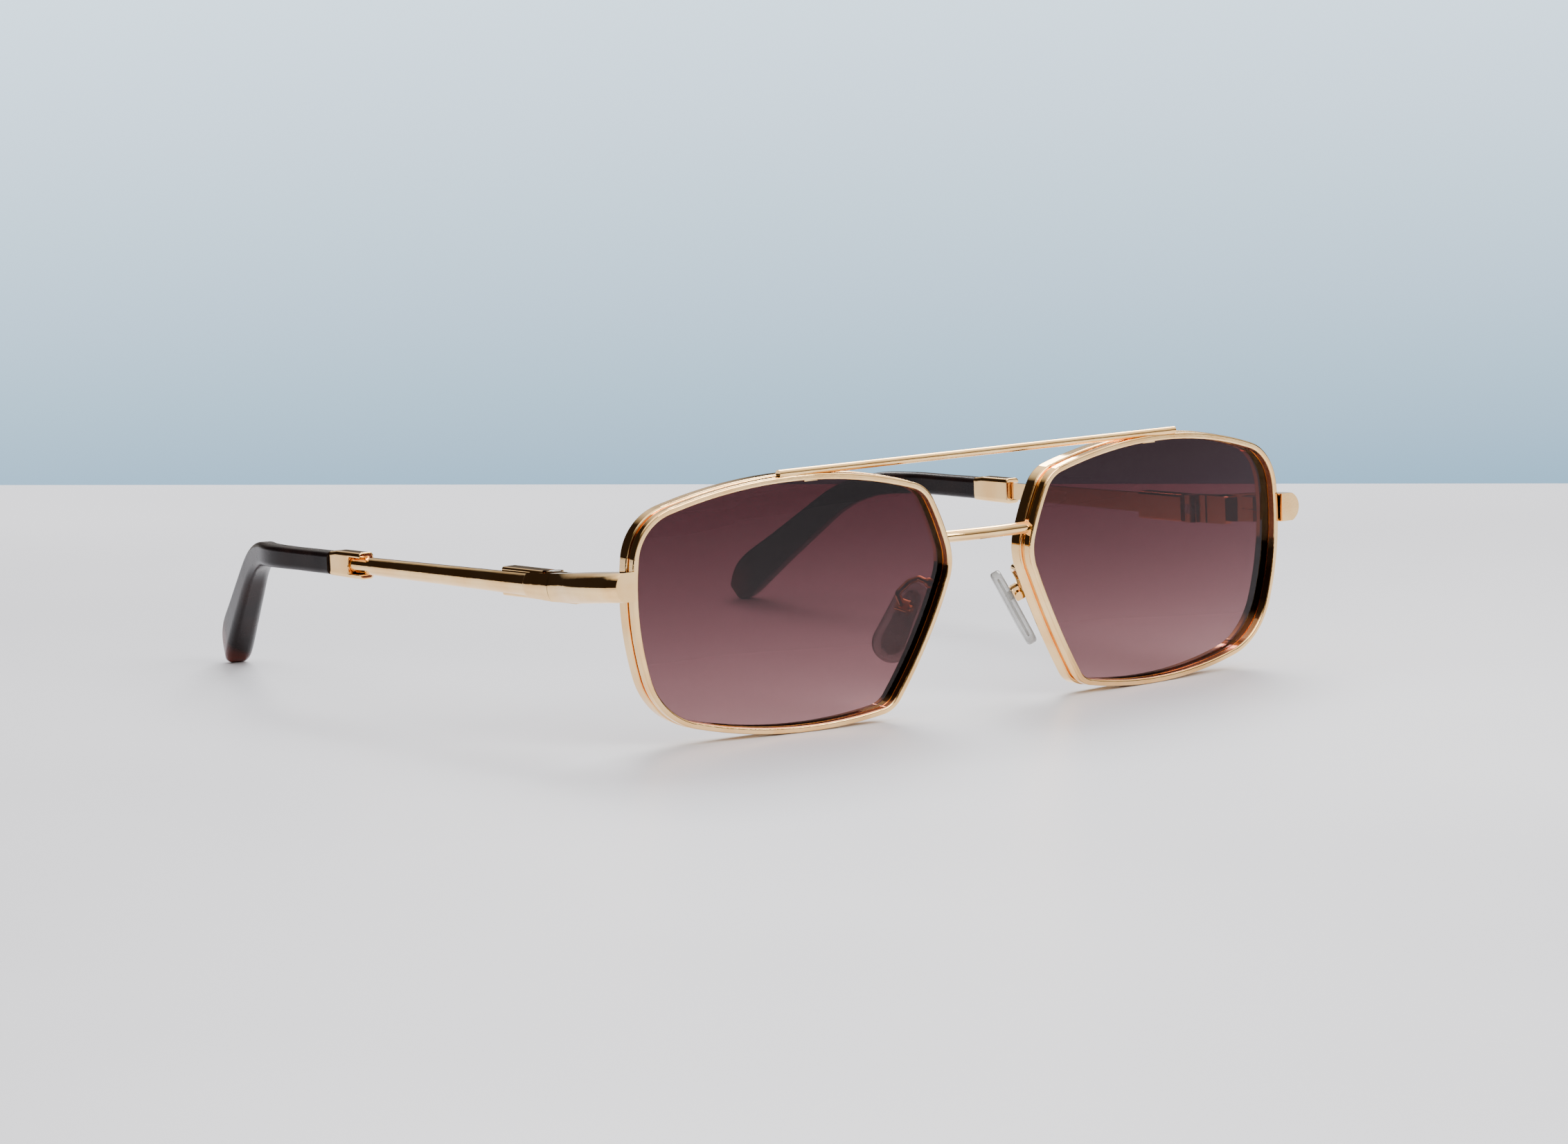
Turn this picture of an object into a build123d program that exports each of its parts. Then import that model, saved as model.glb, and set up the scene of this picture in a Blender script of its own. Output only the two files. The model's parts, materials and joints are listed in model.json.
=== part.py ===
from build123d import *
from math import cos, radians, sin, sqrt
import os

os.makedirs("parts", exist_ok=True)

# Aviator sunglasses, millimetres. The front faces -Y, the temples run back along +Y, +Z is up.
# The origin is the middle of the footprint, on the surface that the rims and temple tips rest on.

# Lens outline: corner points (outward, up) from the lens centre, the bow of the side that
# starts at each corner, and the radius of each corner, clockwise from the upper nasal corner.
LENS_CORNERS = [(-24.8, 16.1), (27.7, 14.6), (24.5, -16.1), (-17.9, -18.6), (-29.6, 3.9)]
LENS_BOWS = [4.5, 2.6, 2.7, 0.8, 0.5]
LENS_CORNER_RADII = [5.0, 8.2, 11.5, 4.0, 8.0]
LENS_CENTRE_X = 38.4
LENS_CENTRE_Z = 21.3
LENS_WRAP = 6.0
LENS_LEAN = 1.6
LENS_BASE_RADIUS = 265.0
LENS_THICKNESS = 2.0
LENS_RECESS = 1.5
LENS_BEVEL_WIDTH = 0.7
LENS_BEVEL_HEIGHT = 0.45
LENS_CLEARANCE = 0.03

# Rims
FRONT_WIRE_WIDTH = 1.05
FRONT_WIRE_DEPTH = 1.6
REAR_WIRE_WIDTH = 1.15
REAR_WIRE_DEPTH = 2.3
RIM_STEP_WIDTH = 0.6
RIM_STEP_DEPTH = 0.6
RIM_ROUNDING = 0.3
SPLICE_HEIGHT = -8.0
SPLICE_THICKNESS = 0.3

# Bars across the front
BROW_BAR_DIAMETER = 1.3
BROW_BAR_HALF_LENGTH = 41.6
BROW_BAR_Y = 0.7
BROW_BAR_SINK = 0.45
BROW_SADDLE_X = 35.5
BROW_SADDLE_SIZE = (2.6, 1.3, 1.6)
BRIDGE_DIAMETER = 2.0
BRIDGE_HEIGHT = 7.95
BRIDGE_DEPTH = 3.6
BRIDGE_BOW = 0.9
BRIDGE_FOOT_DIAMETER = 2.5

# Hinge and temples. The temple frame has its origin on the hinge axis: x outward, y back, z up.
HINGE_X = 67.6
HINGE_Y = 27.0
HINGE_Z = 25.0
TEMPLE_SLOPE = 1.1
TEMPLE_INNER_X = 1.6
SEAM_Y = -2.5
SEAM_GAP = 0.12
KNUCKLE_RADIUS = 1.45
EYE_HEIGHT = 1.5
KNUCKLE_GAP = 0.06
HINGE_SCREW_RADIUS = 0.6
HINGE_SCREW_HEAD_RADIUS = 1.0
HINGE_SCREW_HEAD_HEIGHT = 0.45
RUNNING_CLEARANCE = 0.03
SCREW_SLOT_WIDTH = 0.3
SCREW_SLOT_DEPTH = 0.22
LEAF_LENGTH = 5.9

HOUSING_LENGTH = 11.4
HOUSING_HEIGHT = 4.8
HOUSING_WIDTH = 3.0
HOUSING_WALL = 2.6
HOUSING_SHOULDER = 0.6
HOUSING_BORE_RADIUS = 0.98
HOUSING_PLUG = 0.8
SLIDER_STEM_WIDTH = 1.2
SLIDER_ROD_RADIUS = 0.4
SLIDER_TRAVEL = 1.2
NUT_RADIUS = 0.85
NUT_LENGTH = 1.1
SPRING_RADIUS = 0.7
SPRING_WIRE_RADIUS = 0.13
SPRING_TURNS = 9

HEAD_LENGTH = 7.1
HEAD_FRONT_HEIGHT = 4.6
HEAD_REAR_HEIGHT = 4.0
HEAD_WIDTH = 1.9
BAR_FRONT_HEIGHT = 3.6
BAR_REAR_HEIGHT = 2.8
BAR_EDGE_WIDTH = 0.7
BAR_WIDTH = 1.7
BAR_END_Y = 57.0
FERRULE_Y = 52.9
FERRULE_LENGTH = 9.6
FERRULE_WIDTH = 2.95
FERRULE_INNER_X = 0.7
FERRULE_FRONT_HEIGHT = 4.6
FERRULE_REAR_HEIGHT = 4.2
FERRULE_FORK_LENGTH = 3.6
FERRULE_FORK_GAP = 2.8
FERRULE_TAPER = (2.2, 0.6)
FERRULE_ROUNDING = 0.7

# Temple tips: route in the temple frame, corner radii, then (distance share, height, width)
TIP_ROUTE = [(2.4, 62.5, 0.0), (2.4, 82.0, 0.0), (-2.4, 94.0, -0.4), (-11.9, 119.8, -20.34)]
TIP_BEND_RADII = [24.0, 26.0]
TIP_SECTIONS = [
    (0.00, 3.9, 3.2),
    (0.18, 3.8, 3.1),
    (0.36, 4.0, 3.3),
    (0.52, 4.6, 3.8),
    (0.66, 5.1, 4.4),
    (0.80, 5.8, 4.8),
    (0.92, 6.8, 5.0),
    (0.96, 6.2, 4.8),
    (1.00, 3.8, 3.8),
]
TIP_END_SHIFT = 1.0
TIP_ROUNDNESS = 0.28
TIP_STATIONS = 18
CORE_WIRE_WIDTH = 1.0
CORE_WIRE_HEIGHT = 1.6
CORE_WIRE_SHARE = 0.9

# End pieces: stations (distance in front of the seam, inner x, outer x, centre z, height)
# in the temple frame, from the seam to the rim
END_PIECE_STATIONS = [
    (0.0, 1.6, 3.5, 0.05, 4.6),
    (4.0, 1.6, 4.0, 0.25, 4.7),
    (9.0, 1.4, 5.0, 0.6, 4.85),
    (14.0, 1.1, 5.4, 0.95, 4.85),
    (18.0, 0.8, 5.1, 1.2, 4.8),
    (20.6, 0.5, 4.3, 1.35, 4.75),
]
LOCK_BLOCK_SIZE = (2.2, 3.4, 4.2)
LOCK_BLOCK_POSITION = (67.35, 10.9, 26.2)
LOCK_SPLIT = 0.12
LOCK_SCREW_RADIUS = 0.5
LOCK_SCREW_HEAD_RADIUS = 0.8
LOCK_SCREW_HEAD_HEIGHT = 0.4

# Nose pads. The pad frame has its origin in the pad: x across, y up its length, z to the nose.
PAD_CENTRE = (11.8, 7.9, 14.9)
PAD_LONG_AXIS = (-0.523, 0.0, 0.852)
PAD_NORMAL = (-0.747, 0.480, -0.459)
PAD_TOP_RADIUS = 2.9
PAD_BOTTOM_RADIUS = 3.6
PAD_LENGTH = 14.4
PAD_THICKNESS = 1.8
PAD_ROUNDING = 0.55
PAD_INSERT_MARGIN = 1.4
PAD_INSERT_THICKNESS = 0.35
PAD_PIVOT = (0, 2.2, -1.85)
PAD_LUG_RADIUS = 0.65
PAD_LUG_WIDTH = 0.9
PAD_BOX_SIZE = (2.3, 2.2, 1.7)
PAD_BOX_WALL = 0.3
PAD_SCREW_RADIUS = 0.3
PAD_SCREW_HEAD_RADIUS = 0.62
PAD_SCREW_HEAD_HEIGHT = 0.5
PAD_ARM_RADIUS = 0.52
PAD_ARM_BASE = (-28.1, 0.2, -5.8)
PAD_ARM_LOOP = [(10.0, 5.2, 22.2), (11.0, 6.7, 21.6), (12.8, 7.6, 19.8)]
PAD_ARM_BEND_RADIUS = 0.75
PAD_ARM_FOOT_RADIUS = 0.85

nodes = {}


def add_pair(name, shape):
    """Store the +X piece as right_NAME and its mirror image as left_NAME."""
    nodes["right_" + name] = shape
    nodes["left_" + name] = mirror(shape, about=Plane.YZ)


def block(x_range, y_range, z_range):
    """A box between two limits on each axis."""
    lows, highs = zip(x_range, y_range, z_range)
    size = [high - low for low, high in zip(lows, highs)]
    return Pos(*lows) * Box(*size, align=(Align.MIN, Align.MIN, Align.MIN))


def upright(radius, low, high):
    """A cylinder on the z axis between two heights."""
    return Pos(0, 0, low) * Cylinder(radius, high - low, align=(Align.CENTER, Align.CENTER, Align.MIN))


def lengthwise(radius, front, back):
    """A cylinder on the y axis between two distances."""
    return Rot(-90, 0, 0) * upright(radius, front, back)


def slotted_screw(shaft_radius, head_radius, head_height, bottom, top):
    """A flat-headed screw on the z axis with its head flush at the top."""
    screw = upright(shaft_radius, bottom, top - head_height) + upright(head_radius, top - head_height, top)
    slot = Box(head_radius * 3, SCREW_SLOT_WIDTH, SCREW_SLOT_DEPTH * 2)
    return screw - Pos(0, 0, top) * slot


def rounded(solid, radius, axis):
    """Round the edges of a block that run along one axis."""
    return fillet(solid.edges().filter_by(axis), radius)


def lens_plane():
    """Plane of the right lens: x outward, y up, z forward out of the lens."""
    wrap = radians(LENS_WRAP)
    lean = radians(LENS_LEAN)
    outward = Vector(cos(wrap), sin(wrap), 0)
    forward = Vector(sin(wrap), -cos(wrap), 0) * cos(lean) - Vector(0, 0, 1) * sin(lean)
    return Plane(origin=(LENS_CENTRE_X, 0, LENS_CENTRE_Z), x_dir=outward, z_dir=forward)


def side_circle(start, end, bow):
    """Centre and radius of the arc from start to end that bows outward by an amount."""
    run = end - start
    outward = Vector(-run.Y, run.X).normalized()
    radius = (run.length**2 / 4 + bow**2) / (2 * bow)
    return (start + end) * 0.5 - outward * (radius - bow), radius


def circles_meet(first, second, near):
    """The meeting point of two circles that is nearest to a point."""
    (centre_a, radius_a), (centre_b, radius_b) = first, second
    apart = centre_b - centre_a
    along = (apart.length**2 + radius_a**2 - radius_b**2) / (2 * apart.length)
    aside = sqrt(radius_a**2 - along**2)
    unit = apart.normalized()
    foot = centre_a + unit * along
    side = Vector(-unit.Y, unit.X) * aside
    return min((foot + side, foot - side), key=lambda point: (point - near).length)


def grown(amount):
    """The visible opening of a rim grown by an amount: bowed sides with rounded corners."""
    count = len(LENS_CORNERS)
    corners = [Vector(*corner) for corner in LENS_CORNERS]
    circles = []
    for i, bow in enumerate(LENS_BOWS):
        centre, radius = side_circle(corners[i], corners[(i + 1) % count], bow)
        circles.append((centre, radius + amount))
    points = [circles_meet(circles[i - 1], circles[i], corners[i]) for i in range(count)]
    sides = []
    for i, (centre, radius) in enumerate(circles):
        start, end = points[i], points[(i + 1) % count]
        middle = centre + ((start + end) * 0.5 - centre).normalized() * radius
        sides.append(ThreePointArc(start, middle, end))
    outline = Sketch() + make_face(sides)
    for point, radius in zip(points, LENS_CORNER_RADII):
        corner = outline.vertices().sort_by_distance(point)[0]
        outline = fillet(corner, radius + amount)
    return outline.faces()[0]


LENS_PLANE = lens_plane()
RIM_DEPTH = FRONT_WIRE_DEPTH + REAR_WIRE_DEPTH + RIM_STEP_DEPTH


def layer(front, back):
    """The curved slab between two depths behind the front of the rim, in the lens plane."""
    outer = Sphere(LENS_BASE_RADIUS - front)
    inner = Sphere(LENS_BASE_RADIUS - back)
    return Pos(0, 0, -LENS_BASE_RADIUS) * (Rot(90, 0, 0) * (outer - inner))


def ring(inside, outside, front, back):
    """A rim ring between two offsets of the outline and two depths, in the lens plane."""
    walls = extrude(grown(outside), amount=RIM_DEPTH * 3, both=True)
    walls -= extrude(grown(inside), amount=RIM_DEPTH * 3, both=True)
    return walls & layer(front, back)


def disc(outside, front, back):
    """A curved plate inside the outline, in the lens plane."""
    return extrude(grown(outside), amount=RIM_DEPTH * 3, both=True) & layer(front, back)


def make_rims():
    front_rim = ring(0, FRONT_WIRE_WIDTH, 0, FRONT_WIRE_DEPTH)
    front_rim = fillet(front_rim.edges().filter_by(lambda e: e.length > 0.5), RIM_ROUNDING)
    step_back = FRONT_WIRE_DEPTH + RIM_STEP_DEPTH
    web = ring(0, RIM_STEP_WIDTH, FRONT_WIRE_DEPTH, step_back)
    rear = ring(0, REAR_WIRE_WIDTH, step_back, RIM_DEPTH)
    rear = fillet(rear.edges(), RIM_ROUNDING)
    groove_front = LENS_RECESS + (LENS_THICKNESS - LENS_BEVEL_WIDTH) / 2 - LENS_CLEARANCE
    groove_back = groove_front + LENS_BEVEL_WIDTH + 2 * LENS_CLEARANCE
    groove = ring(-0.5, LENS_BEVEL_HEIGHT + LENS_CLEARANCE, groove_front, groove_back)
    rear_rim = (web + rear) - groove
    return front_rim, rear_rim


def make_lens():
    body = disc(-LENS_CLEARANCE, LENS_RECESS, LENS_RECESS + LENS_THICKNESS)
    bevel_front = LENS_RECESS + (LENS_THICKNESS - LENS_BEVEL_WIDTH) / 2
    return body + disc(LENS_BEVEL_HEIGHT, bevel_front, bevel_front + LENS_BEVEL_WIDTH)


def make_bridge(rims):
    """A round rod from rim to rim with a rounded foot soldered to each one."""
    plane_point = LENS_PLANE.from_local_coords(Vector(LENS_CORNERS[4][0], BRIDGE_HEIGHT, -BRIDGE_DEPTH))
    end = Vector(plane_point.X + FRONT_WIRE_WIDTH, plane_point.Y, plane_point.Z)
    left_end = Vector(-end.X, end.Y, end.Z)
    route = ThreePointArc(left_end, Vector(0, end.Y - BRIDGE_BOW, end.Z), end)
    section = Plane(route @ 0, z_dir=route % 0) * Circle(BRIDGE_DIAMETER / 2)
    bridge = sweep(section, route)
    for point in (left_end, end):
        bridge += Pos(*point) * Sphere(BRIDGE_FOOT_DIAMETER / 2)
    for rim in rims:
        bridge -= rim
        bridge -= mirror(rim, about=Plane.YZ)
    return bridge.solids().sort_by(SortBy.VOLUME)[-1]


def make_brow_bar(rims):
    """A straight rod that lies in a flat filed along the top of the rims."""
    rim_top = max(rim.bounding_box().max.Z for rim in rims)
    height = rim_top - BROW_BAR_SINK + BROW_BAR_DIAMETER / 2
    rod = Rot(0, 90, 0) * Cylinder(BROW_BAR_DIAMETER / 2, BROW_BAR_HALF_LENGTH * 2)
    rod = Pos(0, BROW_BAR_Y, height) * rod
    for rim in rims:
        rod -= rim
        rod -= mirror(rim, about=Plane.YZ)
    return rod.solids().sort_by(SortBy.VOLUME)[-1]


def make_brow_saddle(neighbours):
    """The block that carries the brow bar on the rim, cut to all that it meets."""
    length, width, height = BROW_SADDLE_SIZE
    top = neighbours[0].bounding_box().center().Z
    saddle = Pos(BROW_SADDLE_X, BROW_BAR_Y, top - height / 2) * Box(length, width, height)
    for piece in neighbours:
        saddle -= piece
    return saddle.solids().sort_by(SortBy.VOLUME)[-1]


HALF_HEIGHT = HOUSING_HEIGHT / 2
EYE_SLOT = EYE_HEIGHT / 2 + KNUCKLE_GAP
HOUSING_FRONT = TEMPLE_INNER_X
HOUSING_BACK = HOUSING_FRONT + HOUSING_LENGTH
STEM_BACK = HOUSING_FRONT + HOUSING_WALL
SHOULDER_BACK = STEM_BACK + HOUSING_SHOULDER
PLUG_FRONT = HOUSING_BACK - HOUSING_PLUG
NUT_FRONT = PLUG_FRONT - SLIDER_TRAVEL - NUT_LENGTH


def make_hinge_leaf():
    """Plate under the end piece with two knuckles and a slot for the slider's eye."""
    back = SEAM_Y - SEAM_GAP
    heights = (-HALF_HEIGHT, HALF_HEIGHT)
    leaf = block((0.2, TEMPLE_INNER_X), (back - LEAF_LENGTH, back), heights)
    leaf = rounded(leaf, 0.5, Axis.X)
    leaf += block((0, KNUCKLE_RADIUS), (back - 0.8, 0), heights)
    leaf += upright(KNUCKLE_RADIUS, *heights)
    leaf -= upright(KNUCKLE_RADIUS + 0.2, -EYE_SLOT, EYE_SLOT)
    leaf -= upright(HINGE_SCREW_RADIUS, *heights)
    leaf -= upright(HINGE_SCREW_RADIUS + RUNNING_CLEARANCE, 0, HALF_HEIGHT)
    return leaf - upright(HINGE_SCREW_HEAD_RADIUS, HALF_HEIGHT - HINGE_SCREW_HEAD_HEIGHT, HALF_HEIGHT)


def make_slider():
    """Eye on the hinge screw, square stem in the housing's mouth and a rod for the spring."""
    half_eye = EYE_HEIGHT / 2
    half_stem = SLIDER_STEM_WIDTH / 2
    stem_end = STEM_BACK - RUNNING_CLEARANCE
    slider = upright(KNUCKLE_RADIUS, -half_eye, half_eye)
    slider += block((-half_stem, half_stem), (0, stem_end), (-half_eye, half_eye))
    slider -= upright(HINGE_SCREW_RADIUS + RUNNING_CLEARANCE, -half_eye, half_eye)
    return slider + lengthwise(SLIDER_ROD_RADIUS, stem_end, NUT_FRONT + NUT_LENGTH)


def make_housing():
    """Case of the spring, open at the back, with a square mouth and an inner shoulder."""
    half_eye = EYE_HEIGHT / 2 + RUNNING_CLEARANCE
    half_stem = SLIDER_STEM_WIDTH / 2 + RUNNING_CLEARANCE
    sides = (TEMPLE_INNER_X - HOUSING_WIDTH, TEMPLE_INNER_X)
    case = block(sides, (HOUSING_FRONT, HOUSING_BACK), (-HALF_HEIGHT, HALF_HEIGHT))
    case = rounded(case, 0.45, Axis.Y)
    case -= block((-half_stem, half_stem), (HOUSING_FRONT, STEM_BACK), (-half_eye, half_eye))
    case -= lengthwise(SLIDER_ROD_RADIUS + RUNNING_CLEARANCE, STEM_BACK, SHOULDER_BACK)
    return case - lengthwise(HOUSING_BORE_RADIUS, SHOULDER_BACK, HOUSING_BACK)


def make_spring():
    length = NUT_FRONT - SHOULDER_BACK - 2 * SPRING_WIRE_RADIUS
    coil = Helix(length / SPRING_TURNS, length, SPRING_RADIUS)
    section = Plane(coil @ 0, z_dir=coil % 0) * Circle(SPRING_WIRE_RADIUS)
    spring = sweep(section, coil, is_frenet=True)
    return Pos(0, SHOULDER_BACK + SPRING_WIRE_RADIUS, 0) * (Rot(-90, 0, 0) * spring)


def bowed_section(inner_x, edge_x, outer_x, centre_z, height, y):
    """A face across the temple: flat inner side, short edges and a bowed outer side."""
    low = centre_z - height / 2
    high = centre_z + height / 2
    outer = ThreePointArc((edge_x, y, low), (outer_x, y, centre_z), (edge_x, y, high))
    straight = Polyline((edge_x, y, high), (inner_x, y, high), (inner_x, y, low), (edge_x, y, low))
    return make_face(outer.edges() + straight.edges())


def make_temple_bar():
    """The bar from the head to the ferrule, tapered and bowed on its outer side."""
    edge_x = TEMPLE_INNER_X + BAR_EDGE_WIDTH
    outer_x = TEMPLE_INNER_X + BAR_WIDTH
    front = bowed_section(TEMPLE_INNER_X, edge_x, outer_x, 0, BAR_FRONT_HEIGHT, SEAM_Y + HEAD_LENGTH)
    rear = bowed_section(TEMPLE_INNER_X, edge_x, outer_x, 0, BAR_REAR_HEIGHT, BAR_END_Y)
    return loft([front, rear])


def make_temple_head():
    """The block at the front of the temple that meets the end piece at the seam."""
    edge_x = TEMPLE_INNER_X + HEAD_WIDTH * 0.55
    outer_x = TEMPLE_INNER_X + HEAD_WIDTH
    front = bowed_section(TEMPLE_INNER_X, edge_x, outer_x, 0.05, HEAD_FRONT_HEIGHT, SEAM_Y)
    rear = bowed_section(TEMPLE_INNER_X, edge_x, outer_x, 0, HEAD_REAR_HEIGHT, SEAM_Y + HEAD_LENGTH)
    head = loft([front, rear])
    return fillet(head.faces().sort_by(Axis.Y)[-1].edges().sort_by(Axis.X)[-1], 0.3)


def make_ferrule(bar):
    """The sleeve that joins the bar to the tip, forked round the bar at its front."""
    sides = (FERRULE_INNER_X, FERRULE_INNER_X + FERRULE_WIDTH)
    back = FERRULE_Y + FERRULE_LENGTH
    half_front = FERRULE_FRONT_HEIGHT / 2
    half_rear = FERRULE_REAR_HEIGHT / 2
    profile = Polyline(
        (0, FERRULE_Y, half_front),
        (0, back - FERRULE_TAPER[0], half_front),
        (0, back - FERRULE_TAPER[1], half_rear),
        (0, back, half_rear),
        (0, back, -half_rear),
        (0, FERRULE_Y, -half_front),
        close=True,
    )
    ferrule = Pos(sides[0], 0, 0) * extrude(make_face(profile), amount=FERRULE_WIDTH, dir=(1, 0, 0))
    lengthways = ferrule.edges().filter_by(GeomType.LINE).filter_by(lambda e: abs((e % 0).Y) > 0.9)
    ferrule = fillet(lengthways, FERRULE_ROUNDING)
    half_gap = FERRULE_FORK_GAP / 2
    fork_back = FERRULE_Y + FERRULE_FORK_LENGTH
    fork = block((TEMPLE_INNER_X, sides[1]), (FERRULE_Y, fork_back), (-half_gap, half_gap))
    return ferrule - fork - bar


def tip_route():
    return FilletPolyline(*TIP_ROUTE, radius=TIP_BEND_RADII)


def tip_section(route, share, height, width):
    """A rounded section across the tip's route, its height in the upright plane."""
    along = (route % share).normalized()
    across = Vector(0, 0, 1).cross(along).normalized()
    plane = Plane(route @ share, x_dir=across, z_dir=along)
    drop = TIP_END_SHIFT * max(0, share - TIP_SECTIONS[-3][0]) / (1 - TIP_SECTIONS[-3][0])
    return plane * Pos(0, -drop) * RectangleRounded(width, height, width * TIP_ROUNDNESS)


def make_core_wire(route):
    """Stiffening wire from the end of the bar through the ferrule and into the tip."""
    run_in = Line((TIP_ROUTE[0][0], BAR_END_Y, 0), TIP_ROUTE[0])
    wire_route = Wire([run_in.edge(), *route.trim(0, CORE_WIRE_SHARE).edges()])
    section = Plane(wire_route @ 0, x_dir=(1, 0, 0), z_dir=wire_route % 0)
    section *= RectangleRounded(CORE_WIRE_WIDTH, CORE_WIRE_HEIGHT, 0.3)
    return sweep(section, wire_route)


def tip_size(share):
    """Height and width of the tip at a share of its length, between the listed sections."""
    for (low, *small), (high, *large) in zip(TIP_SECTIONS, TIP_SECTIONS[1:]):
        if share <= high:
            part = (share - low) / (high - low)
            return [a + (b - a) * part for a, b in zip(small, large)]
    return TIP_SECTIONS[-1][1:]


def make_tip(route, wire):
    shares = [i / TIP_STATIONS for i in range(TIP_STATIONS + 1)]
    sections = [tip_section(route, share, *tip_size(share)).faces()[0] for share in shares]
    return loft(sections) - wire


def make_end_piece():
    """The block from the hinge seam to the rim, swollen in the middle of its outer side."""
    faces = []
    for ahead, inner_x, outer_x, centre_z, height in END_PIECE_STATIONS:
        edge_x = inner_x + (outer_x - inner_x) * 0.6
        y = SEAM_Y - SEAM_GAP - ahead
        faces.append(bowed_section(inner_x, edge_x, outer_x, centre_z, height, y))
    return loft(faces)


def make_lock_block():
    """Closing block of the rim: two halves drawn together by a screw."""
    length, depth, height = LOCK_BLOCK_SIZE
    whole = rounded(Box(length, depth, height), 0.4, Axis.Z)
    upper = whole & Pos(0, 0, height / 2 + LOCK_SPLIT / 2) * Box(length * 2, depth * 2, height)
    lower = whole & Pos(0, 0, -height / 2 - LOCK_SPLIT / 2) * Box(length * 2, depth * 2, height)
    screw_top = height / 2
    screw_bottom = LOCK_SCREW_HEAD_HEIGHT - height / 2
    screw = slotted_screw(
        LOCK_SCREW_RADIUS, LOCK_SCREW_HEAD_RADIUS, LOCK_SCREW_HEAD_HEIGHT, screw_bottom, screw_top
    )
    hole = upright(LOCK_SCREW_RADIUS, screw_bottom, screw_top)
    hole += upright(LOCK_SCREW_HEAD_RADIUS, screw_top - LOCK_SCREW_HEAD_HEIGHT, screw_top)
    return upper - hole, lower - hole, screw


def pad_plane():
    """Plane of the right nose pad: x across its width, y up its length, z towards the nose."""
    normal = Vector(*PAD_NORMAL).normalized()
    across = Vector(*PAD_LONG_AXIS).cross(normal).normalized()
    return Plane(origin=PAD_CENTRE, x_dir=across, z_dir=normal)


def pad_outline(margin=0):
    """An egg shape, wider at the bottom."""
    top_y = PAD_LENGTH / 2 - PAD_TOP_RADIUS
    bottom_y = PAD_BOTTOM_RADIUS - PAD_LENGTH / 2
    top = Pos(0, top_y) * Circle(PAD_TOP_RADIUS - margin)
    bottom = Pos(0, bottom_y) * Circle(PAD_BOTTOM_RADIUS - margin)
    return make_hull((top + bottom).edges())


def crosswise(radius, low, high):
    """A cylinder on the x axis between two distances."""
    return Rot(0, 90, 0) * upright(radius, low, high)


def make_pad_insert():
    """Stiff plate inside the pad with a lug that hangs on the pad screw."""
    plate = Pos(0, 0, -PAD_INSERT_THICKNESS / 2) * extrude(
        pad_outline(PAD_INSERT_MARGIN), PAD_INSERT_THICKNESS
    )
    half = PAD_LUG_WIDTH / 2
    at_pivot = Pos(*PAD_PIVOT)
    lug = block((-half, half), (-PAD_LUG_RADIUS, PAD_LUG_RADIUS), (0, -PAD_PIVOT[2]))
    lug += crosswise(PAD_LUG_RADIUS, -half, half)
    lug -= crosswise(PAD_SCREW_RADIUS + RUNNING_CLEARANCE, -half, half)
    return plate + at_pivot * lug


def make_nose_pad(insert):
    pad = Pos(0, 0, -PAD_THICKNESS / 2) * extrude(pad_outline(), PAD_THICKNESS)
    return fillet(pad.edges(), PAD_ROUNDING) - insert


def make_pad_box():
    """Bracket whose two cheeks hold the pad's lug."""
    box = rounded(Box(*PAD_BOX_SIZE), 0.35, Axis.X)
    half = PAD_LUG_WIDTH / 2 + RUNNING_CLEARANCE
    back = -PAD_BOX_SIZE[2] / 2 + PAD_BOX_WALL - 0.1
    box -= block((-half, half), (-PAD_BOX_SIZE[1], PAD_BOX_SIZE[1]), (back, PAD_BOX_SIZE[2]))
    box -= crosswise(PAD_SCREW_RADIUS, -PAD_BOX_SIZE[0], PAD_BOX_SIZE[0])
    return Pos(*PAD_PIVOT) * box


def make_pad_screw():
    half = PAD_BOX_SIZE[0] / 2
    screw = crosswise(PAD_SCREW_RADIUS, -half, half)
    screw += crosswise(PAD_SCREW_HEAD_RADIUS, half, half + PAD_SCREW_HEAD_HEIGHT)
    return Pos(*PAD_PIVOT) * screw


def make_pad_arm(neighbours):
    """Wire from the back of the rim over a loop to the back of the pad box."""
    base = LENS_PLANE.from_local_coords(Vector(*PAD_ARM_BASE))
    end = to_pad * Pos(PAD_PIVOT[0], PAD_PIVOT[1], PAD_PIVOT[2] - PAD_BOX_SIZE[2] / 2)
    wire = FilletPolyline(base, *PAD_ARM_LOOP, end.position, radius=PAD_ARM_BEND_RADIUS)
    arm = sweep(Plane(wire @ 0, z_dir=wire % 0) * Circle(PAD_ARM_RADIUS), wire)
    arm += Pos(*base) * Sphere(PAD_ARM_FOOT_RADIUS)
    for piece in neighbours:
        arm -= piece
    return arm.solids().sort_by(SortBy.VOLUME)[-1]


to_front = LENS_PLANE.location
to_temple = Plane(
    origin=(HINGE_X, HINGE_Y, HINGE_Z),
    x_dir=(1, 0, 0),
    z_dir=(0, sin(radians(TEMPLE_SLOPE)), cos(radians(TEMPLE_SLOPE))),
).location
to_pad = pad_plane().location

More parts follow.
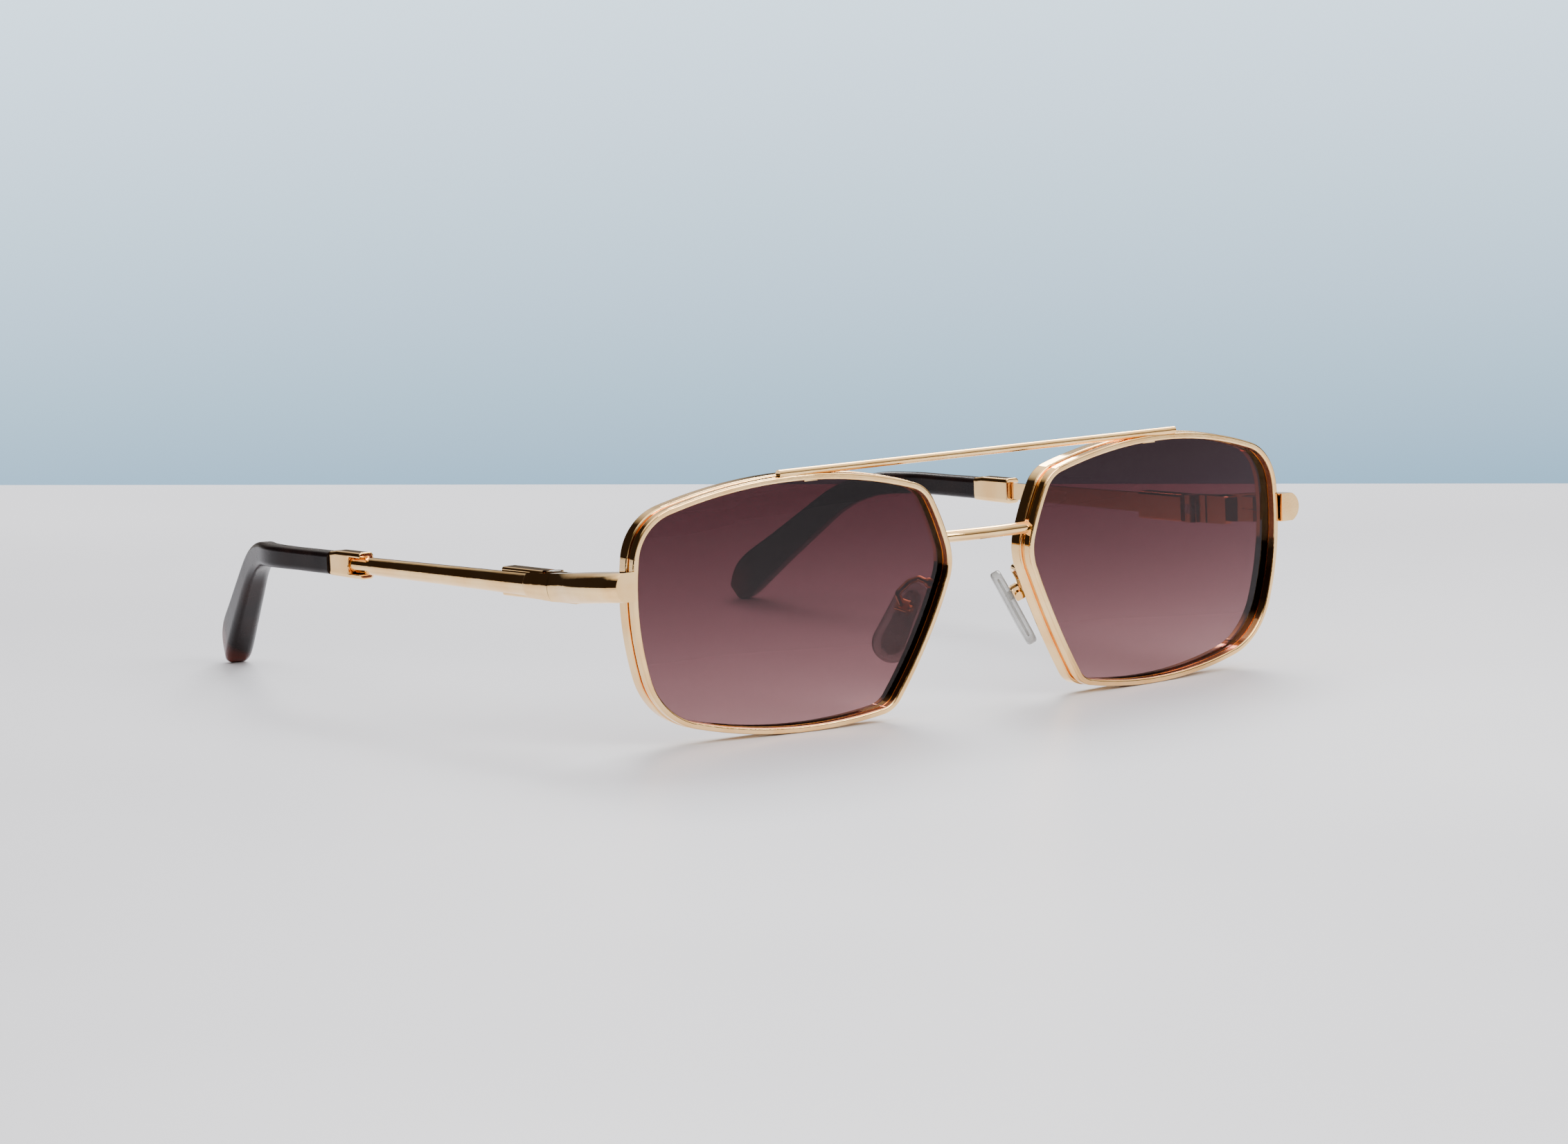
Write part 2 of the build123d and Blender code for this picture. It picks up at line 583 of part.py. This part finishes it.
front_rim, rear_rim = make_rims()
splice_box = Box(FRONT_WIRE_WIDTH * 8, SPLICE_THICKNESS, RIM_DEPTH * 4)
splice_cut = Pos(max(u for u, v in LENS_CORNERS), SPLICE_HEIGHT, 0) * splice_box
rim_splice = to_front * ((front_rim + rear_rim) & splice_cut)
front_rim = to_front * (front_rim - splice_cut)
rear_rim = to_front * (rear_rim - splice_cut)
rims = [front_rim, rear_rim, rim_splice]
add_pair("front_rim", front_rim)
add_pair("rear_rim", rear_rim)
add_pair("rim_splice", rim_splice)
lens = to_front * make_lens()
add_pair("lens", lens)
nodes["bridge"] = make_bridge(rims)
brow_bar = make_brow_bar(rims)
nodes["brow_bar"] = brow_bar
add_pair("brow_saddle", make_brow_saddle([brow_bar, lens, *rims]))

# Hinge, on the front's side and on the temple's side
add_pair("hinge_leaf", to_temple * make_hinge_leaf())
hinge_screw = slotted_screw(
    HINGE_SCREW_RADIUS, HINGE_SCREW_HEAD_RADIUS, HINGE_SCREW_HEAD_HEIGHT, -HALF_HEIGHT, HALF_HEIGHT
)
add_pair("hinge_screw", to_temple * hinge_screw)
add_pair("hinge_slider", to_temple * make_slider())
nut = lengthwise(NUT_RADIUS, NUT_FRONT, NUT_FRONT + NUT_LENGTH)
nut -= lengthwise(SLIDER_ROD_RADIUS, NUT_FRONT, NUT_FRONT + NUT_LENGTH)
add_pair("slider_nut", to_temple * nut)
add_pair("hinge_spring", to_temple * make_spring())
add_pair("spring_housing", to_temple * make_housing())
add_pair("housing_plug", to_temple * lengthwise(HOUSING_BORE_RADIUS, PLUG_FRONT, HOUSING_BACK))

# Temple
bar = make_temple_bar()
route = tip_route()
wire = make_core_wire(route)
add_pair("temple_head", to_temple * make_temple_head())
add_pair("temple_bar", to_temple * bar)
add_pair("core_wire", to_temple * wire)
add_pair("ferrule", to_temple * (make_ferrule(bar) - wire))
add_pair("temple_tip", to_temple * make_tip(route, wire))

# End piece and the rim's closing block
upper_block, lower_block, lock_screw = make_lock_block()
to_lock = Pos(*LOCK_BLOCK_POSITION)
end_piece = to_temple * make_end_piece()
for cut in rims + [to_lock * Box(*LOCK_BLOCK_SIZE), to_temple * make_hinge_leaf()]:
    end_piece -= cut
add_pair("end_piece", end_piece.solids().sort_by(SortBy.VOLUME)[-1])
for name, piece in (("lock_block_upper", upper_block), ("lock_block_lower", lower_block)):
    piece = to_lock * piece
    for rim in rims:
        piece -= rim
    add_pair(name, piece.solids().sort_by(SortBy.VOLUME)[-1])
add_pair("lock_screw", to_lock * lock_screw)

# Nose pads
pad_box = make_pad_box()
pad_insert = make_pad_insert()
add_pair("pad_arm", make_pad_arm([lens, *rims, to_pad * pad_box]))
add_pair("pad_box", to_pad * pad_box)
add_pair("pad_screw", to_pad * make_pad_screw())
add_pair("pad_insert", to_pad * pad_insert)
add_pair("nose_pad", to_pad * make_nose_pad(pad_insert))

# Put the origin at the bottom centre of the whole
boxes = [shape.bounding_box() for shape in nodes.values()]
front_end = min(box.min.Y for box in boxes)
back_end = max(box.max.Y for box in boxes)
shift = Pos(0, -(front_end + back_end) / 2, -min(box.min.Z for box in boxes))
for name, shape in nodes.items():
    placed = shift * shape
    export_step(placed, f"parts/{name}.step")
    print(name, placed.is_valid, len(placed.solids()), round(placed.volume, 2))
print("shift", tuple(shift.position))
print("hinge", tuple((shift * to_temple).position))
tip_middle = (shift * to_temple * Pos(*(route @ 0.5))).position
print("tip middle", tuple(tip_middle), tuple(route % 0.5))
print("pad pivot", tuple((shift * to_pad * Pos(*PAD_PIVOT)).position), tuple(to_pad.x_axis.direction))
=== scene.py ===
# %% [markdown]
# # Aviator sunglasses
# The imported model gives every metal, lens and plastic part at its real size, in metres. This lesson adds what makes
# them look real: polished pale gold, gradient lenses, dark acetate tips, clear silicone pads, and softened corners on
# the two cast ferrules. The first cell loads that model as a fixed frame.

# %% Load the frame
import json
from math import cos, radians, sin

import bpy
from mathutils import Matrix, Vector


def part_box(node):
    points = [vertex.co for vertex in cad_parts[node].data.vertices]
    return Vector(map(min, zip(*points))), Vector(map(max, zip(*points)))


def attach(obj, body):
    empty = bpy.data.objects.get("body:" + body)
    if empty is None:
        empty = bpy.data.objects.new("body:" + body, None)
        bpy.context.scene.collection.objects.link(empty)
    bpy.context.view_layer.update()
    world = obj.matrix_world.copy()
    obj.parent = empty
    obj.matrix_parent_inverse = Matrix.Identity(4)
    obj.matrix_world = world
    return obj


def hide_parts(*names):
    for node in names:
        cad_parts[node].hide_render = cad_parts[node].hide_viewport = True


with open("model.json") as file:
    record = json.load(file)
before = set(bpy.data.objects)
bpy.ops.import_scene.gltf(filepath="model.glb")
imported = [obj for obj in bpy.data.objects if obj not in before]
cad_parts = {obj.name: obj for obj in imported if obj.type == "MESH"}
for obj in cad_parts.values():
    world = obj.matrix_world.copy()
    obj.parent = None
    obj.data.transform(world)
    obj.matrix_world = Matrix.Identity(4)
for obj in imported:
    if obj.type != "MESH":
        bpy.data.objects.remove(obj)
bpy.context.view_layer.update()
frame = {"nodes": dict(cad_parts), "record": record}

nodes = frame["nodes"]
bpy.ops.object.select_all(action="DESELECT")

# %% [markdown]
# ## Camera
# A long lens from the front left, a little above the table. A long lens keeps the two sides of the front nearly
# parallel, which is how small products are usually shown. The camera is placed on a circle round a point of the
# glasses: azimuth and elevation say where it stands, and a small roll keeps the far edge of the table level.

# %% Camera
AZIMUTH = radians(-36.5)
ELEVATION = radians(7.19)
ROLL = radians(-1.711)
DISTANCE = 1.04527
FOCAL_LENGTH = 145.51
SENSOR_WIDTH = 36
NEAREST = 0.05
FARTHEST = 50
TARGET = Vector((-0.02687, -0.05306, 0.02368))

away = Vector((sin(AZIMUTH) * cos(ELEVATION), -cos(AZIMUTH) * cos(ELEVATION), sin(ELEVATION)))
level = Vector((cos(AZIMUTH), sin(AZIMUTH), 0))
upright = away.cross(level)
right = level * cos(ROLL) + upright * sin(ROLL)
up = upright * cos(ROLL) - level * sin(ROLL)
camera_data = bpy.data.cameras.new("camera")
camera_data.lens = FOCAL_LENGTH
camera_data.sensor_width = SENSOR_WIDTH
camera_data.clip_start = NEAREST
camera_data.clip_end = FARTHEST
camera = bpy.data.objects.new("camera", camera_data)
bpy.context.scene.collection.objects.link(camera)
turn = Matrix((right, up, away)).transposed().to_4x4()
camera.matrix_world = Matrix.Translation(TARGET + away * DISTANCE) @ turn
bpy.context.scene.camera = camera
print("camera at", [round(v, 3) for v in camera.matrix_world.translation])

# %% [markdown]
# ## Shader maths
# A pattern is easiest to read as a formula. One small class stands for a socket and turns + - * ** into Math nodes,
# and one method makes any other node, with its settings first and its sockets after.


# %% Sockets that can be added and multiplied
class Sock:
    """A node's output that can be used in a formula."""

    def __init__(self, recipe, socket):
        self.recipe = recipe
        self.socket = socket

    def math(self, operation, first, *rest):
        return self.recipe.node("ShaderNodeMath", {"operation": operation}, dict(enumerate((first, *rest))))

    def __add__(self, other):
        return self.math("ADD", self, other)

    def __radd__(self, other):
        return self.math("ADD", other, self)

    def __rsub__(self, other):
        return self.math("SUBTRACT", other, self)

    def __mul__(self, other):
        return self.math("MULTIPLY", self, other)

    def __pow__(self, other):
        return self.math("POWER", self, other)


class Recipe:
    """A node tree of a material or of the world."""

    def __init__(self, owner):
        self.owner = owner
        owner.use_nodes = True
        self.tree = owner.node_tree
        self.tree.nodes.clear()

    def node(self, kind, settings=None, sockets=None, output=0):
        made = self.tree.nodes.new(kind)
        for name, value in (settings or {}).items():
            setattr(made, name, value)
        for name, value in (sockets or {}).items():
            if isinstance(value, Sock):
                self.tree.links.new(value.socket, made.inputs[name])
            else:
                made.inputs[name].default_value = value
        return Sock(self, made.outputs[output]) if made.outputs else made

    def place(self, axis=None):
        """The point on the piece, in metres, or one of its coordinates."""
        point = self.node("ShaderNodeTexCoord", output="Object")
        if axis is None:
            return point
        return self.node("ShaderNodeSeparateXYZ", {}, {0: point}, output=axis)

    def noise(self, scale, detail=3.0, stretch=(1, 1, 1)):
        """Soft noise from 0 to 1, scale in features per metre."""
        point = self.node("ShaderNodeMapping", {}, {"Vector": self.place(), "Scale": stretch})
        return self.node("ShaderNodeTexNoise", {}, {"Vector": point, "Scale": scale, "Detail": detail})

    def between(self, value, low, high):
        """0 below low, 1 above high and a straight line between them."""
        return self.node(
            "ShaderNodeMapRange", {"clamp": True}, {"Value": value, "From Min": low, "From Max": high}
        )

    def mix(self, factor, first, second):
        """A colour between two colours."""
        return self.node("ShaderNodeMix", {"data_type": "RGBA"}, {0: factor, 6: first, 7: second}, output=2)

    def bump(self, height, distance, strength=1.0):
        return self.node(
            "ShaderNodeBump", {}, {"Height": height, "Distance": distance, "Strength": strength}
        )

    def finish(self, surface):
        kind = "ShaderNodeOutputMaterial" if isinstance(self.owner, bpy.types.Material) else "ShaderNodeOutputWorld"
        self.node(kind, {}, {"Surface": surface})
        print("recipe", self.owner.name, "nodes", len(self.tree.nodes))
        return self.owner

# %% [markdown]
# ## Polished gold
# The frame is metal with a thin layer of pale gold. Polished plating is a mirror, so almost all of its look comes from
# what it reflects. What keeps it from looking like plastic is small: a colour that drifts a little with the plating,
# a roughness that changes from handled to clean places, and hairlines left by the polishing wheel.


# %% Gold
GOLD_PALE = (0.97, 0.65, 0.30, 1)
GOLD_DEEP = (0.90, 0.54, 0.21, 1)
GOLD_ROUGHNESS = 0.035
GOLD_HANDLING = 0.03
GOLD_RELIEF = 0.00001
WHEEL_MARKS = (1, 0.12, 1)


def make_gold():
    recipe = Recipe(bpy.data.materials.new("polished_gold"))
    drift = recipe.between(recipe.noise(180), 0.35, 0.65)
    hairlines = recipe.noise(2600, 2.0, WHEEL_MARKS)
    smudges = recipe.between(recipe.noise(420, 4.0), 0.45, 0.75)
    roughness = GOLD_ROUGHNESS + smudges * GOLD_HANDLING + hairlines * (GOLD_HANDLING * 0.5)
    normal = recipe.bump(hairlines * 0.6 + recipe.noise(900) * 0.8, GOLD_RELIEF, 0.35)
    surface = recipe.node(
        "ShaderNodeBsdfPrincipled",
        {},
        {
            "Base Color": recipe.mix(drift, GOLD_PALE, GOLD_DEEP),
            "Metallic": 1.0,
            "Roughness": roughness,
            "Normal": normal,
        },
    )
    return recipe.finish(surface)


gold = make_gold()

# %% [markdown]
# ## Gradient lens
# A sunglass lens only filters the light behind it and mirrors a little of what is in front of it. Two clear shaders
# with a dark and a light tint are mixed by height, which gives the gradient. A mirror coat is laid over them, with a
# share that is small face on and grows steeply where the glass is seen at a slant. It is worked out from the slant
# alone, which is the same for the front and the back surface. Light crosses both, so each holds the root of the tint.


# %% Lens
LENS_DARK = (0.19, 0.072, 0.09, 1)
LENS_PALE = (0.54, 0.39, 0.395, 1)
LENS_COAT = (0.95, 0.90, 0.92, 1)
FACE_ON_MIRROR = 0.022
SLANTED_MIRROR = 0.9
TINT_MARGIN = 0.002
TINT_WANDER = 0.0015


def make_lens_tint():
    recipe = Recipe(bpy.data.materials.new("lens_tint"))
    low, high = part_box("right_lens")
    height = recipe.place("Z") + recipe.noise(30) * TINT_WANDER
    fade = recipe.between(height, low.z + TINT_MARGIN, high.z - TINT_MARGIN) ** 0.7
    dark = recipe.node("ShaderNodeBsdfTransparent", {}, {"Color": LENS_DARK})
    pale = recipe.node("ShaderNodeBsdfTransparent", {}, {"Color": LENS_PALE})
    tint = recipe.node("ShaderNodeMixShader", {}, {0: fade, 1: pale, 2: dark})
    coat = recipe.node("ShaderNodeBsdfGlossy", {}, {"Color": LENS_COAT, "Roughness": 0.0})
    slant = recipe.node("ShaderNodeLayerWeight", {}, {"Blend": 0.5}, output="Facing")
    mirror_share = FACE_ON_MIRROR + slant ** 5 * SLANTED_MIRROR
    return recipe.finish(recipe.node("ShaderNodeMixShader", {}, {0: mirror_share, 1: tint, 2: coat}))


lens_tint = make_lens_tint()

# %% [markdown]
# ## Acetate, silicone and steel
# The temple tips are nearly black acetate. Their reddish brown at the rear of the foot is a painted glow that stands
# for light getting into the plastic there. The nose pads are clear silicone: part see-through and part milky, with
# painted shade that darkens them towards their outline, where they are also less see-through.
# Screws and springs are plain steel.


# %% Acetate
ACETATE_BLACK = (0.008, 0.005, 0.005, 1)
ACETATE_BROWN = (0.018, 0.009, 0.008, 1)
# Painted glow: the reddish colour at the rear of the foot stands for light getting into the plastic.
PAINTED_GLOW_RED = (0.17, 0.035, 0.024, 1)
PAINTED_GLOW_SHARE = 0.8
GLOW_DEPTH = (0.0065, 0.002)
GLOW_HEIGHT = (0.0045, 0.0095)


def make_acetate():
    recipe = Recipe(bpy.data.materials.new("tip_acetate"))
    low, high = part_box("right_temple_tip")
    cloud = recipe.noise(160, 4.0)
    rear = recipe.between(recipe.place("Y") + cloud * 0.001, high.y - GLOW_DEPTH[0], high.y - GLOW_DEPTH[1])
    foot = 1 - recipe.between(recipe.place("Z"), low.z + GLOW_HEIGHT[0], low.z + GLOW_HEIGHT[1])
    # Painted glow at the rear of the foot, put in the base colour in place of light shining into the plastic.
    painted_glow = rear * foot
    swirl = recipe.between(cloud, 0.4, 0.75)
    body = recipe.mix(swirl, ACETATE_BLACK, ACETATE_BROWN)
    colour = recipe.mix(painted_glow * PAINTED_GLOW_SHARE, body, PAINTED_GLOW_RED)
    surface = recipe.node(
        "ShaderNodeBsdfPrincipled",
        {},
        {
            "Base Color": colour,
            "Roughness": 0.22 + recipe.noise(700) * 0.08,
            "Specular IOR Level": 0.09,
            "Coat Weight": 0.03,
            "Coat Roughness": 0.04,
            "Normal": recipe.bump(recipe.noise(350), 0.00004, 0.4),
        },
    )
    return recipe.finish(surface)


acetate = make_acetate()


# %% Silicone
PAD_MILK = (0.52, 0.525, 0.50, 1)
# Painted shade for the pads' outline, standing in for refraction at their edges.
PAD_EDGE_SHADE = (0.12, 0.11, 0.09, 1)
PAD_CLEAR = (0.95, 0.955, 0.95, 1)


def make_silicone():
    recipe = Recipe(bpy.data.materials.new("pad_silicone"))
    milk = recipe.between(recipe.noise(260), 0.3, 0.8)
    slant = recipe.node("ShaderNodeLayerWeight", {}, {"Blend": 0.5}, output="Facing")
    # Painted shade: the colour darkens where the pad is seen at a slant, towards its outline, in place of refraction
    # there.
    body = recipe.node(
        "ShaderNodeBsdfPrincipled",
        {},
        {
            "Base Color": recipe.mix(slant, PAD_MILK, PAD_EDGE_SHADE),
            "Roughness": 0.12 + milk * 0.10,
            "Normal": recipe.bump(recipe.noise(500), 0.00003, 0.5),
        },
    )
    clear = recipe.node("ShaderNodeBsdfTransparent", {}, {"Color": PAD_CLEAR})
    share = 0.30 + milk * 0.10 + slant * 0.55
    return recipe.finish(recipe.node("ShaderNodeMixShader", {}, {0: share, 1: clear, 2: body}))


silicone = make_silicone()


# %% Steel
STEEL_DARK = (0.66, 0.63, 0.58, 1)
STEEL_PALE = (0.80, 0.77, 0.70, 1)


def make_steel():
    recipe = Recipe(bpy.data.materials.new("screw_steel"))
    turned = recipe.noise(3200, 2.0, (1, 1, 0.2))
    surface = recipe.node(
        "ShaderNodeBsdfPrincipled",
        {},
        {
            "Base Color": recipe.mix(turned, STEEL_DARK, STEEL_PALE),
            "Metallic": 1.0,
            "Roughness": 0.20 + turned * 0.14,
            "Normal": recipe.bump(turned, 0.000008, 0.4),
        },
    )
    return recipe.finish(surface)


steel = make_steel()

# %% [markdown]
# ## Who wears which finish
# The record names a material slot for every node, so the finishes are handed out by slot.

# %% Assign the finishes
FINISHES = {
    "gold": gold,
    "lens_tint": lens_tint,
    "tip_acetate": acetate,
    "pad_silicone": silicone,
    "pad_core": silicone,
    "screw_steel": steel,
    "spring_steel": steel,
}
SLOT_OF = {part["node"]: part["material_slot"] for part in frame["record"]["subparts"]}


def wear(piece, material):
    piece.data.materials.clear()
    piece.data.materials.append(material)


for name, piece in nodes.items():
    wear(piece, FINISHES[SLOT_OF[name]])
print("finishes", sorted(set(SLOT_OF.values())))

# %% [markdown]
# ## Cast ferrules
# The sleeves between the bars and the tips are small castings, so their edges were rounded by tumbling. A copy of each
# plain sleeve is made into one even skin of small faces, and that skin is relaxed a few times: flat sides stay flat
# and only the corners give way. It takes the plain sleeve's place on the same moving body.

# %% Ferrules
BODIES = frame["record"]["behaviour"]["bodies"]
BODY_OF = {part: body for body, parts in BODIES.items() for part in parts}
CAST_GRAIN = 0.00013
SAME_POINT = 0.000002
RELAXING = 6


def tumbled(name):
    """A copy of a CAD node with softened corners, which stands for it."""
    mesh = nodes[name].data.copy()
    piece = bpy.data.objects.new(name + "_cast", mesh)
    bpy.context.scene.collection.objects.link(piece)
    bpy.ops.object.select_all(action="DESELECT")
    bpy.context.view_layer.objects.active = piece
    piece.select_set(True)
    bpy.ops.object.mode_set(mode="EDIT")
    bpy.ops.mesh.select_all(action="SELECT")
    bpy.ops.mesh.remove_doubles(threshold=SAME_POINT)
    bpy.ops.object.mode_set(mode="OBJECT")
    skin = piece.modifiers.new("skin", "REMESH")
    skin.mode = "VOXEL"
    skin.voxel_size = CAST_GRAIN
    bpy.ops.object.modifier_apply(modifier=skin.name)
    relax = piece.modifiers.new("relax", "SMOOTH")
    relax.factor = 0.5
    relax.iterations = RELAXING
    bpy.ops.object.modifier_apply(modifier=relax.name)
    bpy.ops.object.shade_smooth()
    piece.select_set(False)
    wear(piece, FINISHES[SLOT_OF[name]])
    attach(piece, BODY_OF[name])
    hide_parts(name)
    print(piece.name, len(piece.data.polygons), "faces")


for side in ("right", "left"):
    tumbled(f"{side}_ferrule")

# %% [markdown]
# ## Table
# A pale table top with a soft sheen. It ends not far behind the glasses, across the line of sight, so the metal has
# a bright surface below the horizon to mirror and the picture has a quiet pale wall above it.

# %% Table
TABLE_BEHIND = 0.28
TABLE_REACH = 3.0
TABLE_THICKNESS = 0.04
TABLE_EDGE = 0.004
TABLE_TURN = AZIMUTH - radians(14.5)
TABLE_GREY = (0.80, 0.81, 0.88, 1)
TABLE_WHITE = (0.87, 0.88, 0.94, 1)


def make_table():
    bpy.ops.mesh.primitive_cube_add(size=1, location=(0, 0, 0))
    table = bpy.context.object
    table.name = "table"
    bpy.ops.object.mode_set(mode="EDIT")
    bpy.ops.transform.resize(value=(2 * TABLE_REACH, TABLE_REACH + TABLE_BEHIND, TABLE_THICKNESS))
    middle = (TABLE_BEHIND - TABLE_REACH) / 2
    bpy.ops.transform.translate(value=(0, middle, -TABLE_THICKNESS / 2))
    bpy.ops.mesh.bevel(offset=TABLE_EDGE, segments=3)
    bpy.ops.object.mode_set(mode="OBJECT")
    table.data.transform(Matrix.Rotation(TABLE_TURN, 4, "Z"))
    recipe = Recipe(bpy.data.materials.new("table_top"))
    shade = recipe.between(recipe.noise(2.5, 3.0), 0.3, 0.7)
    surface = recipe.node(
        "ShaderNodeBsdfPrincipled",
        {},
        {
            "Base Color": recipe.mix(shade, TABLE_GREY, TABLE_WHITE),
            "Roughness": 0.24 + shade * 0.08,
            "Specular IOR Level": 0.4,
        },
    )
    wear(table, recipe.finish(surface))
    print("table", len(table.data.polygons), "faces")


make_table()

# %% [markdown]
# ## Light
# Polished metal shows the room. A white room makes it look like plaster, so this room has a dark side: on the left,
# from the horizon up, there is a dark wall. A dark rail runs low round the rest of the room, under a grey wall and a
# white ceiling. Every rounded bar then shows a bright lower half from the table, a crisp dark band and a white line
# from above. The camera itself sees a pale blue backdrop instead of the room. Soft lamps add the shadows.

# %% World
DARK_SIDE = (-0.95, 0.30)
DARK_WALL = (0.016, 0.012, 0.010, 1)
ROOM_GREY = (0.42, 0.40, 0.37, 1)
CEILING_WHITE = (1.35, 1.33, 1.30, 1)
WALL_BLUE = (0.25, 0.43, 0.59, 1)
WALL_PALE = (0.92, 1.14, 1.33, 1)
RAIL_DARKNESS = 0.85
ROOM_STRENGTH = 1.75
BACKDROP_STRENGTH = 1.75


def make_world():
    world = bpy.data.worlds.new("studio")
    bpy.context.scene.world = world
    recipe = Recipe(world)
    direction = recipe.node("ShaderNodeTexCoord", output="Generated")
    x, y, z = (recipe.node("ShaderNodeSeparateXYZ", {}, {0: direction}, output=axis) for axis in "XYZ")
    to_dark = x * DARK_SIDE[0] + y * DARK_SIDE[1]
    below_ceiling = 1 - recipe.between(z, 0.60, 0.85)
    wall = recipe.between(to_dark, 0.05, 0.35) * below_ceiling * recipe.between(z, -0.03, 0.0)
    rail = recipe.between(z, 0.02, 0.08) * (1 - recipe.between(z, 0.24, 0.34)) * RAIL_DARKNESS
    bright = recipe.mix(recipe.between(z, 0.45, 0.80), ROOM_GREY, CEILING_WHITE)
    room = recipe.mix(wall.math("MAXIMUM", wall, rail), bright, DARK_WALL)
    sky = recipe.mix(recipe.between(z, -0.115, -0.02), WALL_BLUE, WALL_PALE)
    from_camera = recipe.node("ShaderNodeLightPath", output="Is Camera Ray")
    lit = recipe.node("ShaderNodeBackground", {}, {"Color": room, "Strength": ROOM_STRENGTH})
    pale = recipe.node("ShaderNodeBackground", {}, {"Color": sky, "Strength": BACKDROP_STRENGTH})
    recipe.finish(recipe.node("ShaderNodeMixShader", {}, {0: from_camera, 1: lit, 2: pale}))


make_world()


# %% Lamps
LAMP_AIM = Vector((0, 0, 0.02))
WARM_WHITE = (1.0, 0.96, 0.9)


def add_softbox(name, place, size, power, colour=(1, 1, 1)):
    data = bpy.data.lights.new(name, "AREA")
    data.shape = "RECTANGLE"
    data.size, data.size_y = size
    data.energy = power
    data.color = colour
    lamp = bpy.data.objects.new(name, data)
    bpy.context.scene.collection.objects.link(lamp)
    lamp.location = place
    lamp.rotation_euler = (LAMP_AIM - Vector(place)).to_track_quat("-Z", "Y").to_euler()
    print("light", name, power, "W")


add_softbox("back_softbox", (0.9, 0.9, 1.1), (1.0, 0.7), 36)
add_softbox("front_softbox", (0.3, -1.5, 1.0), (1.0, 0.6), 18, WARM_WHITE)
